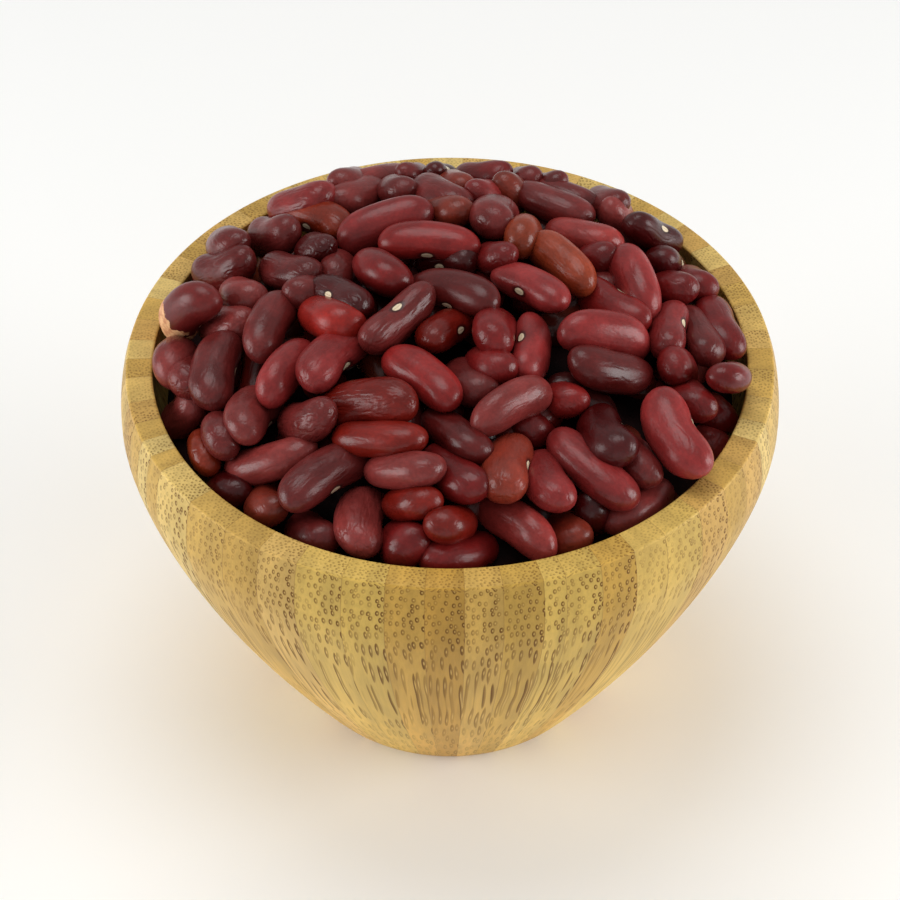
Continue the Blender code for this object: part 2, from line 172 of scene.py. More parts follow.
# Each bean that shows: its two ends in the photograph's pixels, with the hollow side on the
# left of the way from the first to the second, how far it lies below the heap's face along
# the line of sight in mm, its roll towards the eye in degrees, its length and width in mm,
# its tone, and how wrinkled its skin is.
SEEN_BEANS = (
    (500, 306, 413, 279, 0.0, 30, 19.0, 8.0, "maroon", 0.1),
    (481, 246, 378, 239, -0.5, 32, 19.5, 7.8, "bright", 0.1),
    (434, 206, 336, 243, 0.8, 0, 19.5, 8.0, "pink", 0.1),
    (363, 350, 432, 287, -0.3, 60, 19.0, 8.0, "wine", 0.4),
    (459, 406, 387, 350, -0.5, 25, 19.0, 8.0, "bright", 0.1),
    (419, 401, 317, 410, -0.5, 15, 20.0, 8.8, "russet", 0.5),
    (364, 451, 282, 503, -0.5, 22, 19.5, 8.2, "wine", 0.3),
    (330, 437, 427, 440, 0.0, -70, 18.5, 7.8, "russet", 0.2),
    (363, 471, 444, 469, 0.0, -75, 17.0, 8.0, "mauve", 0.2),
    (555, 552, 473, 499, -0.4, -30, 20.0, 8.0, "rose", 0.2),
    (516, 434, 500, 502, -0.5, 25, 17.0, 8.8, "tan", 0.3),
    (552, 386, 471, 427, -0.8, -40, 18.0, 8.0, "mauve", 0.2),
    (551, 432, 633, 506, -0.3, -60, 20.5, 8.8, "pink", 0.2),
    (655, 390, 698, 477, -0.5, 5, 19.5, 9.0, "pink", 0.2),
    (567, 362, 656, 377, 0.3, -30, 18.5, 8.2, "maroon", 0.2),
    (652, 344, 557, 330, -0.5, -10, 19.0, 8.6, "pink", 0.1),
    (646, 327, 621, 243, -0.3, -60, 19.0, 9.4, "pink", 0.2),
    (591, 293, 532, 234, -0.3, -10, 18.5, 7.6, "amber", 0.3),
    (568, 307, 495, 268, -0.3, 55, 18.0, 8.0, "pink", 0.1),
    (524, 384, 536, 313, 0.2, 48, 17.0, 8.0, "pink", 0.1),
    (505, 313, 488, 354, 0.0, -20, 15.0, 8.6, "deep", 0.2),
    (474, 312, 419, 348, 1.5, 60, 16.0, 8.0, "russet", 0.3),
    (372, 315, 312, 281, -1.2, 75, 17.0, 8.0, "dark", 0.5),
    (358, 252, 407, 293, 0.5, -75, 16.5, 9.4, "deep", 0.1),
    (190, 274, 258, 263, 0.0, 0, 17.0, 8.4, "maroon", 0.4),
    (286, 290, 256, 362, -0.5, -20, 18.0, 8.0, "wine", 0.2),
    (222, 329, 212, 411, -0.5, 0, 18.5, 8.6, "wine", 0.2),
    (246, 233, 303, 236, -0.3, 0, 16.0, 8.6, "wine", 0.3),
    (258, 261, 322, 281, 0.3, -30, 17.0, 8.0, "wine", 0.4),
    (301, 306, 362, 332, 0.8, -70, 17.0, 9.2, "scarlet", 0.1),
    (362, 330, 304, 387, -0.4, 22, 18.5, 8.4, "pink", 0.3),
    (311, 343, 264, 402, 0.2, -45, 17.5, 8.0, "pink", 0.2),
    (269, 388, 238, 443, 0.2, 0, 17.0, 8.8, "mauve", 0.2),
    (221, 473, 318, 448, 0.5, -60, 19.5, 8.0, "mauve", 0.2),
    (276, 425, 338, 414, 1.0, -30, 17.0, 8.2, "wine", 0.6),
    (366, 487, 360, 557, 0.0, -10, 17.0, 9.0, "mauve", 0.6),
    (425, 411, 488, 459, 1.8, -70, 18.0, 7.8, "maroon", 0.2),
    (425, 449, 485, 496, 1.5, -20, 18.0, 8.2, "deep", 0.2),
    (537, 450, 561, 511, 0.5, -20, 17.0, 8.2, "pink", 0.3),
    (592, 406, 622, 465, -0.9, 0, 17.5, 8.8, "dark", 0.2),
    (709, 366, 687, 305, 0.3, 45, 17.0, 8.2, "wine", 0.3),
    (677, 300, 661, 360, 0.8, 45, 16.5, 7.8, "pink", 0.3),
    (710, 293, 728, 361, 0.5, -20, 18.0, 8.6, "deep", 0.2),
    (580, 283, 646, 331, 1.5, 10, 17.5, 8.2, "bright", 0.1),
    (622, 223, 680, 246, 0.0, 55, 16.5, 8.0, "dark", 0.3),
    (503, 194, 489, 242, -0.5, 0, 14.5, 9.2, "wine", 0.3),
    (414, 178, 468, 214, 0.0, -45, 16.5, 8.2, "wine", 0.3),
    (514, 186, 592, 222, 0.3, -60, 18.0, 8.0, "wine", 0.2),
    (453, 173, 511, 178, 0.0, -30, 14.5, 7.0, "deep", 0.2),
    (530, 181, 601, 211, 0.8, -80, 17.0, 7.4, "wine", 0.2),
    (545, 226, 620, 248, 0.8, -70, 17.0, 8.0, "rose", 0.2),
    (534, 221, 513, 254, 1.0, -60, 14.5, 8.0, "amber", 0.2),
    (650, 203, 664, 229, -4.5, 0, 13.5, 7.4, "wine", 0.2),
    (589, 189, 624, 215, 0.0, -20, 14.5, 7.4, "wine", 0.2),
    (600, 215, 632, 213, 0.0, 0, 13.0, 7.6, "mauve", 0.2),
    (706, 380, 749, 375, -1.0, -80, 13.0, 7.2, "deep", 0.2),
    (352, 234, 284, 204, 0.2, 40, 17.5, 8.0, "orange", 0.3),
    (222, 283, 266, 306, 0.7, -60, 15.0, 7.8, "mauve", 0.2),
    (195, 317, 258, 329, -1.0, -20, 16.5, 8.6, "mauve", 0.3),
    (219, 292, 162, 332, 1.5, -10, 17.0, 8.8, "chipped", 0.1),
    (186, 338, 169, 388, 0.5, -40, 15.5, 8.6, "mauve", 0.2),
    (160, 432, 208, 396, 1.0, -45, 15.5, 8.4, "mauve", 0.3),
    (199, 432, 214, 475, 1.5, -80, 14.0, 7.2, "orange", 0.3),
    (213, 415, 232, 457, 1.2, -80, 14.5, 7.8, "wine", 0.3),
    (254, 484, 283, 524, 1.2, 0, 14.0, 8.0, "tan", 0.2),
    (290, 515, 334, 550, 1.5, -30, 15.5, 8.2, "wine", 0.2),
    (384, 534, 425, 549, 0.8, -20, 13.0, 9.0, "deep", 0.2),
    (383, 506, 440, 500, 1.2, -80, 15.0, 7.4, "russet", 0.2),
    (427, 528, 475, 519, 1.0, -70, 14.5, 7.6, "russet", 0.2),
    (420, 560, 500, 545, 1.0, -60, 16.5, 8.2, "deep", 0.2),
    (605, 528, 674, 484, 0.8, -70, 18.0, 7.8, "mauve", 0.2),
    (631, 436, 645, 487, 1.2, -40, 15.5, 8.0, "wine", 0.3),
    (548, 519, 585, 549, 1.0, -20, 14.0, 9.0, "tan", 0.2),
    (548, 386, 580, 410, 2.0, -40, 14.0, 7.6, "bright", 0.2),
    (474, 251, 517, 262, 1.5, -40, 14.0, 7.2, "deep", 0.3),
    (424, 204, 472, 219, 1.2, -60, 15.0, 8.0, "tan", 0.2),
    (385, 177, 411, 201, 0.0, -30, 14.0, 7.2, "wine", 0.3),
    (333, 209, 384, 179, 0.3, -30, 17.0, 8.0, "mauve", 0.2),
    (348, 189, 409, 170, 0.8, -60, 16.0, 7.0, "mauve", 0.2),
    (402, 180, 424, 171, 0.8, -20, 13.0, 6.6, "wine", 0.3),
    (424, 176, 456, 173, 1.0, 60, 13.0, 6.0, "dark", 0.2),
    (446, 176, 466, 194, 1.5, -30, 13.0, 7.2, "tan", 0.2),
    (470, 199, 499, 190, 1.0, -30, 13.5, 7.4, "pink", 0.2),
    (510, 174, 537, 185, 0.8, -30, 13.0, 6.6, "wine", 0.2),
    (535, 182, 562, 188, 1.5, -30, 13.0, 6.6, "wine", 0.2),
    (656, 275, 690, 299, 1.0, -40, 14.0, 8.0, "deep", 0.3),
    (682, 270, 705, 299, 1.0, -40, 14.0, 8.4, "deep", 0.2),
    (698, 418, 716, 460, 5.0, -40, 15.0, 8.2, "rose", 0.3),
    (684, 382, 702, 419, 1.0, -40, 14.0, 8.2, "deep", 0.3),
    (708, 396, 721, 430, 5.0, -40, 14.0, 8.0, "deep", 0.3),
    (696, 381, 660, 360, 1.2, 50, 14.0, 8.0, "deep", 0.2),
    (193, 362, 188, 394, 1.5, -30, 12.5, 8.0, "wine", 0.6),
    (212, 233, 248, 253, 0.5, -30, 15.0, 8.2, "wine", 0.3),
    (234, 232, 255, 216, 1.0, -30, 14.0, 8.0, "tan", 0.2),
    (266, 208, 335, 197, 0.5, -50, 16.5, 8.2, "pink", 0.3),
    (345, 261, 335, 284, 3.5, -30, 13.0, 8.0, "wine", 0.2),
    (343, 188, 357, 178, 1.0, -30, 14.0, 8.0, "mauve", 0.2),
)

# Beans seen only in the gaps between those
DEEP_BEANS = (
    (450, 360, 490, 404, 2.0, -30, 16.0, 8.4, "wine", 0.2),
    (470, 350, 512, 380, 3.0, -40, 16.0, 8.4, "deep", 0.2),
    (480, 262, 418, 259, 4.0, 60, 14.0, 7.6, "dark", 0.2),
    (503, 190, 520, 191, 2.0, -30, 13.0, 8.0, "tan", 0.2),
    (650, 258, 680, 272, 2.0, 60, 15.0, 8.0, "dark", 0.2),
    (299, 242, 335, 256, 2.0, -30, 14.0, 8.0, "dark", 0.6),
    (296, 300, 318, 283, 2.0, -30, 13.0, 8.0, "wine", 0.2),
    (575, 252, 610, 264, 5.0, -30, 16.0, 8.0, "deep", 0.2),
    (592, 274, 607, 296, 3.0, -30, 14.0, 8.0, "wine", 0.2),
    (519, 435, 548, 419, 6.0, -30, 14.0, 8.0, "deep", 0.2),
    (475, 515, 500, 540, 6.0, 60, 14.0, 8.0, "dark", 0.2),
    (580, 503, 612, 520, 6.0, -30, 15.0, 8.0, "dark", 0.2),
    (222, 474, 243, 500, 2.0, -30, 13.0, 8.0, "dark", 0.2),
)

# Beans under the others, which close the gaps
GOLDEN_TURN = math.pi * (3.0 - math.sqrt(5.0))
UNDER_COUNT = 110
UNDER_SINK = 0.0070
UNDER_RADIUS = 0.052
UNDER_SEED = 5
# The beans under the others keep this share of their tint, as painted shade
UNDER_PAINTED_SHADE = 0.4
UNDER_LENGTHS = (0.80, 0.95)
UNDER_WRINKLE = 0.2

# Settling: how far a bean may slide on its line of sight, and what counts against a place
SLIDE_FORWARD = 0.0012
SLIDE_BACK = 0.0120
SLIDE_STEP = 0.0004
WALL_REACH = 0.0100
WALL_ROOM = 2 * WALL_GAP
TOUCH_DEPTH = 0.0008
TOUCH_COST = 3.0
WALL_COST = 30.0
MOVES_IN = 4

# The least share of its length that a bean shows across the line of sight
LEAST_TURN = 0.08

# Stage and light
FLOOR_SIZE = 6.0
FLOOR_TONE = (250, 250, 248)
FLOOR_ROUGHNESS = 0.9
WORLD_STRENGTH = 0.46
LAMPS = {
    "left": ((-0.74, -0.16, 0.24), 0.50, 3.1),
    "right": ((0.74, -0.12, 0.24), 0.50, 3.8),
    "top": ((-0.10, 0.20, 0.90), 0.60, 2.7),
    "front": ((0.0, -0.85, 0.10), 0.60, 0.4),
}
AIM = (0.0, 0.0, 0.05)


def linear(tone):
    """A 0 to 255 screen colour as the linear colour that a shader takes, by the sRGB curve."""
    share = np.array(tone, float) / 255.0
    low = share / 12.92
    high = ((share + 0.055) / 1.055) ** 2.4
    return (*np.where(share <= 0.04045, low, high), 1.0)


# Shapes of the bowl and the heap

def outer_radius(height):
    """The bowl's outer radius at a height."""
    if height < BELLY_HEIGHT:
        share = 1.0 - height / BELLY_HEIGHT
        return BELLY_RADIUS - (BELLY_RADIUS - FOOT_RADIUS) * share ** WALL_POWER
    share = (height - BELLY_HEIGHT) / (HEIGHT - BELLY_HEIGHT)
    return BELLY_RADIUS - (BELLY_RADIUS - RIM_RADIUS) * share ** 2


def inner_radius(height):
    """The bowl's inner radius at a height, with a rounded corner at the floor."""
    if height >= HEIGHT:
        return MOUTH_RADIUS
    radius = outer_radius(height) - WALL_THICKNESS
    above = height - FLOOR_THICKNESS
    if above < FLOOR_CORNER:
        radius *= math.sqrt(max(0.0, 1.0 - (1.0 - above / FLOOR_CORNER) ** 2))
    blend = max(0.0, (height - BELLY_HEIGHT) / (HEIGHT - BELLY_HEIGHT))
    return radius + blend ** 2 * (MOUTH_RADIUS - RIM_RADIUS + WALL_THICKNESS)


def rounded_corner(centre, radius, start, end, steps):
    """Points of an arc in the profile's plane, angles in degrees."""
    angles = np.radians(np.linspace(start, end, steps))
    return [(centre[0] + radius * math.cos(a), centre[1] + radius * math.sin(a)) for a in angles]


def bowl_profile():
    """The bowl's section, from the middle of its floor over the rim to the foot's middle."""
    inside = []
    for angle in np.radians(np.linspace(0, CORNER_END, CORNER_STEPS)):
        height = FLOOR_THICKNESS + FLOOR_CORNER * (1.0 - math.cos(angle))
        inside.append((inner_radius(height), height))
    corner_top = FLOOR_THICKNESS + FLOOR_CORNER
    for height in np.linspace(corner_top, HEIGHT - MOUTH_ROUNDING, INNER_STEPS):
        inside.append((inner_radius(height), height))
    mouth_centre = (MOUTH_RADIUS + MOUTH_ROUNDING, HEIGHT - MOUTH_ROUNDING)
    mouth = rounded_corner(mouth_centre, MOUTH_ROUNDING, *MOUTH_ARC)
    rim_centre = (RIM_RADIUS - RIM_ROUNDING, HEIGHT - RIM_ROUNDING)
    rim = rounded_corner(rim_centre, RIM_ROUNDING, *RIM_ARC)
    outside = []
    for height in np.linspace(HEIGHT - RIM_ROUNDING, FOOT_ROUNDING, OUTER_STEPS)[1:]:
        outside.append((outer_radius(height), height))
    foot_centre = (FOOT_RADIUS - FOOT_ROUNDING, FOOT_ROUNDING)
    foot = rounded_corner(foot_centre, FOOT_ROUNDING, *FOOT_ARC)
    return inside + mouth + rim + outside + foot + [(0.0, 0.0)]


def heap_height(radius):
    """Mean height of the bean middles in the heap's face at a radius."""
    share = (radius / HEAP_EDGE_RADIUS) ** HEAP_POWER
    return HEAP_TOP - (HEAP_TOP - HEAP_EDGE) * share


def face_height(x, y):
    """Height of the bean middles in the heap's face, which is a little higher at the back."""
    return heap_height(np.hypot(x, y)) + HEAP_TILT * y


def heap_normal(point):
    """The way out of the heap's face above a point."""
    radius = math.hypot(point[0], point[1]) + TINIER
    rise = -(HEAP_TOP - HEAP_EDGE) * HEAP_POWER / HEAP_EDGE_RADIUS
    rise *= (radius / HEAP_EDGE_RADIUS) ** (HEAP_POWER - 1.0)
    normal = np.array((-rise * point[0] / radius, -rise * point[1] / radius - HEAP_TILT, 1.0))
    return normal / np.linalg.norm(normal)


# Where each bean lies

def line_of_sight(pixel):
    """The direction from the eye through a pixel of the photograph."""
    right = (pixel[0] - MIDDLE_PIXEL) / FOCUS_PIXELS
    up = (MIDDLE_PIXEL - pixel[1]) / FOCUS_PIXELS
    ray = FORWARD + right * RIGHT + up * UP
    return ray / np.linalg.norm(ray)


def face_point(ray):
    """Where a line of sight meets the heap's face, or passes it closest."""
    reach = np.arange(*SIGHT_REACH, SIGHT_STEP)
    points = EYE + reach[:, None] * ray
    above = points[:, 2] - face_height(points[:, 0], points[:, 1])
    below = np.nonzero(above < 0.0)[0]
    return points[below[0] if len(below) else int(np.argmin(above))]


def bean_frame(first, second, length, width, roll, point):
    """A bean's three directions: along it, to its hollow side, and out of its flat side."""
    scale = FOCUS_PIXELS / np.dot(point - EYE, FORWARD)
    seen = ((second[0] - first[0]) / scale) * RIGHT - ((second[1] - first[1]) / scale) * UP
    seen_half = np.linalg.norm(seen) / 2
    end_half = width / 2
    turn = (seen_half ** 2 - end_half ** 2) / ((length / 2) ** 2 - end_half ** 2)
    turn = math.sqrt(min(1.0, max(LEAST_TURN, turn)))
    lean = math.sqrt(1.0 - turn ** 2)
    seen /= np.linalg.norm(seen)
    normal = heap_normal(point)
    along = min((seen * turn + FORWARD * lean, seen * turn - FORWARD * lean),
                key=lambda way: abs(np.dot(way, normal)))
    to_eye = -FORWARD + np.dot(FORWARD, along) * along
    to_eye /= np.linalg.norm(to_eye)
    hollow = np.cross(to_eye, along)
    angle = math.radians(roll)
    side = hollow * math.cos(angle) + to_eye * math.sin(angle)
    return np.array((along, side, np.cross(along, side)))


def bean_balls(way, length, width):
    """Balls that fill a bean, as offsets from its middle, and their radii."""
    thickness = width * BEAN_THICKNESS / BEAN_WIDTH
    spread = (width - thickness) / 2
    offsets = []
    radii = []
    for share in BALL_SHARES:
        full = (1.0 - abs(share) ** BEAN_END_POWER) ** (1.0 / BEAN_SIDE_POWER)
        bend = BEAN_BEND * (share ** 2 - 0.5)
        for row in (-1.0, 1.0):
            local = (share * length / 2, bend + row * spread * full, 0.0)
            offsets.append(np.dot(local, way))
            radii.append(thickness / 2 * full)
    return np.array(offsets), np.array(radii)


def wall_room(centres, radii):
    """The least gap between balls and the bowl."""
    radius = np.hypot(centres[:, 0], centres[:, 1])
    inside = np.array([inner_radius(height) for height in np.minimum(centres[:, 2], HEIGHT)])
    over = centres[:, 2] - HEIGHT
    room = np.where(over < 0.0, inside - radius, np.where(
        radius < MOUTH_RADIUS, np.hypot(MOUTH_RADIUS - radius, over), over))
    return float(np.min(room - radii))


def free_slide(start, way, offsets, radii):
    """The shortest slide along a way, back or forth, at which the bowl leaves room."""
    for slide in sorted(np.arange(-WALL_REACH, WALL_REACH, SLIDE_STEP), key=abs):
        if wall_room(start + slide * way + offsets, radii) >= WALL_ROOM:
            return slide
    return 0.0


def moved_in(middle, offsets, radii):
    """A bean's middle, moved towards the bowl's axis until the wall leaves room."""
    for _ in range(MOVES_IN):
        short = WALL_ROOM - wall_room(middle + offsets, radii)
        if short > 0.0:
            inward = -middle * np.array((1.0, 1.0, 0.0))
            middle = middle + inward / np.linalg.norm(inward) * short
    return middle


class Heap:
    """The beans laid so far, each as its middle, frame, length, width, tone and wrinkles."""

    def __init__(self):
        self.beans = []
        self.centres = np.zeros((0, 3))
        self.radii = np.zeros(0)

    def overlap(self, centres, radii):
        """How deep balls reach into the beans already laid."""
        if not len(self.radii):
            return 0.0
        apart = np.linalg.norm(centres[:, None] - self.centres[None], axis=2)
        return float(np.max(radii[:, None] + self.radii[None] - apart))

    def lay(self, point, way, sink, directions, length, width, tone, wrinkle):
        """Put a bean near a point, slid along a way: clear of the bowl, then of the others."""
        offsets, radii = bean_balls(directions, length, width)
        start = point + sink * way
        clear = free_slide(start, way, offsets, radii)
        best = None
        for slide in np.arange(clear - SLIDE_FORWARD, clear + SLIDE_BACK, SLIDE_STEP):
            centres = start + slide * way + offsets
            depth = max(0.0, self.overlap(centres, radii) - TOUCH_DEPTH)
            short = max(0.0, WALL_ROOM - wall_room(centres, radii))
            cost = abs(slide - clear) + TOUCH_COST * depth + WALL_COST * short
            if best is None or cost < best[0]:
                best = (cost, start + slide * way)
        middle = moved_in(best[1], offsets, radii)
        self.beans.append((middle, directions, length, width, tone, wrinkle))
        self.centres = np.vstack((self.centres, middle + offsets))
        self.radii = np.concatenate((self.radii, radii))

    def lay_seen(self, rows):
        """Lay beans given by their ends in the photograph."""
        for u1, v1, u2, v2, sink, roll, length, width, tone, wrinkle in rows:
            ray = line_of_sight(((u1 + u2) / 2, (v1 + v2) / 2))
            point = face_point(ray)
            directions = bean_frame((u1, v1), (u2, v2), length * MM, width * MM, roll, point)
            self.lay(point, ray, sink * MM, directions, length * MM, width * MM, tone, wrinkle)

    def lay_flat(self, place, sink, heading, length, tone, wrinkle):
        """Lay a bean on its flat side in the heap's face."""
        point = np.array((*place, face_height(*place)))
        normal = heap_normal(point)
        along = np.array((math.cos(heading), math.sin(heading), 0.0))
        along -= np.dot(along, normal) * normal
        along /= np.linalg.norm(along)
        directions = np.array((along, np.cross(normal, along), normal))
        start = moved_in(point - sink * normal, *bean_balls(directions, length, BEAN_WIDTH))
        self.lay(start, -normal, 0.0, directions, length, BEAN_WIDTH, tone, wrinkle)

    def lay_under(self):
        """Lay beans under the others by a seeded rule."""
        draw = np.random.default_rng(UNDER_SEED)
        tones = [tone for tone in TONES if tone != "chipped"]
        for index in range(UNDER_COUNT):
            radius = UNDER_RADIUS * math.sqrt((index + 0.5) / UNDER_COUNT)
            turn = index * GOLDEN_TURN
            place = np.array((math.cos(turn), math.sin(turn))) * radius
            heading = draw.uniform(0.0, math.pi)
            length = BEAN_LENGTH * draw.uniform(*UNDER_LENGTHS)
            tone = tones[index % len(tones)]
            self.lay_flat(place, UNDER_SINK, heading, length, tone, UNDER_WRINKLE)


# Meshes

def ball_form(sides, rings):
    """A unit ball with its poles on X: its points, and its faces as lists of points."""
    form = bmesh.new()
    bmesh.ops.create_uvsphere(form, u_segments=sides, v_segments=rings, radius=1.0)
    points = np.array([(vert.co.z, vert.co.x, vert.co.y) for vert in form.verts])
    faces = [[vert.index for vert in face.verts] for face in form.faces]
    form.free()
    return points, faces


def bean_points(ball, length, width, draw):
    """A bean's own points: a ball drawn out, flattened, bent and a little uneven."""
    share = ball[:, 0]
    ring = np.hypot(ball[:, 1], ball[:, 2])
    ring = np.where(ring < TINY, 1.0, ring)
    across = ball[:, 1] / ring
    through = ball[:, 2] / ring
    end_power = BEAN_END_POWER * draw.uniform(*END_RANGE)
    full = np.clip(1.0 - np.abs(share) ** end_power, 0.0, 1.0) ** (1.0 / BEAN_SIDE_POWER)
    full = full * (1.0 + draw.uniform(*TAPER_RANGE) * share)
    thickness = width * BEAN_THICKNESS / BEAN_WIDTH * draw.uniform(*THICKNESS_RANGE)
    bend = BEAN_BEND * draw.uniform(*BEND_RANGE) * (share ** 2 - 0.5)
    place = share * length / 2
    dip = HOLLOW_DEPTH * draw.uniform(*HOLLOW_RANGE) * np.exp(-(place / HOLLOW_LENGTH) ** 2)
    dip = dip * np.clip(across, 0.0, 1.0) ** 2
    phases = draw.uniform(0.0, 2.0 * math.pi, 4)
    (long_turns, wide_turns, _), (short_turns, deep_turns, small) = LUMP_WAVES
    lumps = np.sin(long_turns * share + phases[0]) * np.sin(wide_turns * across + phases[1])
    lumps += np.sin(short_turns * share + phases[2]) * np.sin(
        deep_turns * through + phases[3]) * small
    swell = full * LUMP_HEIGHT * lumps
    side = bend + across * (full * width / 2 + swell) - dip
    flat = through * (full * thickness / 2 + swell)
    return np.stack((place, side, flat), axis=1)


def bean_piece(name, beans, sides, rings, light, group):
    """One mesh of many beans, with each point's own place on its bean kept in attributes."""
    ball, ball_faces = ball_form(sides, rings)
    points = []
    faces = []
    local = []
    skin = []
    tint = []
    marks = []
    for index, middle, directions, length, width, tone, wrinkle in beans:
        draw = np.random.default_rng(BEAN_SEED + index)
        own = bean_points(ball, length, width, draw)
        start = len(points) * len(ball)
        faces += [[start + corner for corner in face] for face in ball_faces]
        points.append(middle + own @ directions)
        local.append(own / MM)
        skin.append(own / MM + draw.uniform(-SKIN_SHIFT, SKIN_SHIFT, 3))
        # light scales the tint; below one it is painted shade on beans that lie under others
        colour = np.array(linear(TONES[tone])) * draw.uniform(*TINT_RANGE) * light
        tint.append(np.tile((*colour[:3], 1.0), (len(ball), 1)))
        chip = 1.0 if tone == "chipped" else 0.0
        marks.append(np.tile((wrinkle, chip, draw.uniform()), (len(ball), 1)))
    mesh = bpy.data.meshes.new(name)
    mesh.from_pydata(np.concatenate(points), [], faces)
    for title, rows in (("local", local), ("skin", skin), ("marks", marks)):
        layer = mesh.attributes.new(title, "FLOAT_VECTOR", "POINT")
        layer.data.foreach_set("vector", np.concatenate(rows).astype(np.float32).ravel())
    layer = mesh.attributes.new("tint", "FLOAT_COLOR", "POINT")
    layer.data.foreach_set("color", np.concatenate(tint).astype(np.float32).ravel())
    mesh.shade_smooth()
    piece = bpy.data.objects.new(name, mesh)
    group.objects.link(piece)
    return piece


def stave_seams(draw):
    """The angles of all the seams round the bowl, in degrees, and one turn more."""
    seams = list(SEAMS)
    end = SEAMS[0] + 360.0
    while end - seams[-1] > LAST_STAVES:
        seams.append(seams[-1] + draw.uniform(*STAVE_WIDTHS))
    seams.append((seams[-1] + end) / 2)
    seams.append(end)
    return np.array(seams)


def bowl_faces(seams):
    """The bowl's points, its faces, one column after another, and for each corner of a face its
    place across the stave, radius and height, and the number of its stave."""
    profile = np.array(bowl_profile())
    rows = len(profile) - 2
    angles = np.concatenate([np.linspace(a, b, STAVE_COLUMNS, endpoint=False)
                             for a, b in zip(seams[:-1], seams[1:])])
    turns = np.radians(angles)
    columns = len(turns)
    points = [(0.0, 0.0, profile[0][1]), (0.0, 0.0, profile[-1][1])]
    for turn in turns:
        for radius, height in profile[1:-1]:
            points.append((radius * math.sin(turn), -radius * math.cos(turn), height))
    faces = []
    grain = []
    stave = []
    for column in range(columns):
        here = 2 + column * rows
        there = 2 + (column + 1) % columns * rows
        index = column // STAVE_COLUMNS
        share = column % STAVE_COLUMNS / STAVE_COLUMNS
        sides = (share, share + 1.0 / STAVE_COLUMNS)
        quads = [[(0, 0), (there, 0), (here, 0)]]
        quads += [[(here, row), (there, row), (there, row + 1), (here, row + 1)]
                  for row in range(rows - 1)]
        quads.append([(here, rows - 1), (there, rows - 1), (1, 0)])
        for quad in quads:
            faces.append([base + row for base, row in quad])
            for base, row in quad:
                side = sides[1] if base == there else sides[0]
                centre = base < 2
                point = profile[0] if base == 0 else profile[-1] if base == 1 else profile[row + 1]
                grain.append((0.5 if centre else side, point[0], point[1]))
                stave.append(index)
    return points, faces, np.array(grain), np.array(stave)


def bowl_piece(group):
    """The bowl's mesh, with the attributes that its material reads."""
    draw = np.random.default_rng(STAVE_SEED)
    seams = stave_seams(draw)
    points, faces, grain, stave = bowl_faces(seams)
    mesh = bpy.data.meshes.new("bamboo_bowl")
    mesh.from_pydata(points, [], faces)
    count = len(seams) - 1
    widths = np.radians(np.diff(seams))[stave]
    turn = (grain[:, 0] - 0.5) * widths
    radius = grain[:, 1]
    height = grain[:, 2]
    shift = draw.uniform(-STAVE_SHIFT, STAVE_SHIFT, (count, 3))[stave]
    on_end = np.clip((height - HEIGHT + RIM_ROUNDING) / RIM_ROUNDING, 0.0, 1.0)
    crowd = 1.0 + RIM_CROWDING * on_end
    sideways = radius * np.sin(turn) * crowd / MM + shift[:, 0]
    outward = radius * np.cos(turn)
    across = (height - HEIGHT) * math.cos(FIBRE_SLOPE)
    across -= (outward - RIM_RADIUS) * math.sin(FIBRE_SLOPE)
    depth = across * crowd / MM + shift[:, 1]
    along = (height * math.sin(FIBRE_SLOPE) + outward * math.cos(FIBRE_SLOPE)) / MM
    tones = np.array([linear(STAVE_TONES[index % len(STAVE_TONES)])
                      for index in draw.permutation(count)])
    for index, tone in FRONT_TONES.items():
        tones[index] = linear(tone)
    dense = draw.uniform(*STAVE_DENSITIES, count)
    dense[list(FRONT_TONES)[1:-2]] = FRONT_DENSITY
    layers = (("grain", np.stack((sideways, depth, along), axis=1)),
              ("stave", np.stack((grain[:, 0], dense[stave], on_end), axis=1)))
    for title, rows in layers:
        layer = mesh.attributes.new(title, "FLOAT_VECTOR", "CORNER")
        layer.data.foreach_set("vector", rows.astype(np.float32).ravel())
    layer = mesh.attributes.new("tint", "FLOAT_COLOR", "CORNER")
    layer.data.foreach_set("color", tones[stave].astype(np.float32).ravel())
    mesh.shade_smooth()
    piece = bpy.data.objects.new("bamboo_bowl", mesh)
    group.objects.link(piece)
    return piece


def core_piece(group):
    """The inside of the heap, under the beans, painted near black as shade."""
    edge = MOUTH_RADIUS - CORE_ROOM
    profile = [(0.0, heap_height(0.0) - CORE_DEPTH)]
    for radius in np.linspace(0.0, edge, CORE_RINGS)[1:]:
        profile.append((radius, heap_height(radius) - CORE_DEPTH))
    profile.append((min(edge, inner_radius(CORE_FLOOR) - CORE_WALL_ROOM), CORE_FLOOR))
    profile.append((0.0, CORE_FLOOR))
    mesh = bpy.data.meshes.new("heap_core")
    edges = [(i, i + 1) for i in range(len(profile) - 1)]
    mesh.from_pydata([(radius, 0.0, height) for radius, height in profile], edges, [])
    piece = bpy.data.objects.new("heap_core", mesh)
    group.objects.link(piece)
    screw = piece.modifiers.new("Turn", "SCREW")
    screw.axis = "Z"
    screw.angle = 2.0 * math.pi
    screw.steps = CORE_STEPS
    screw.render_steps = CORE_STEPS
    screw.use_merge_vertices = True
    screw.merge_threshold = CORE_MERGE
    evaluated = piece.evaluated_get(bpy.context.evaluated_depsgraph_get())
    baked = bpy.data.meshes.new_from_object(evaluated)
    piece.modifiers.clear()
    piece.data = baked
    baked.shade_smooth()
    return piece


# Materials

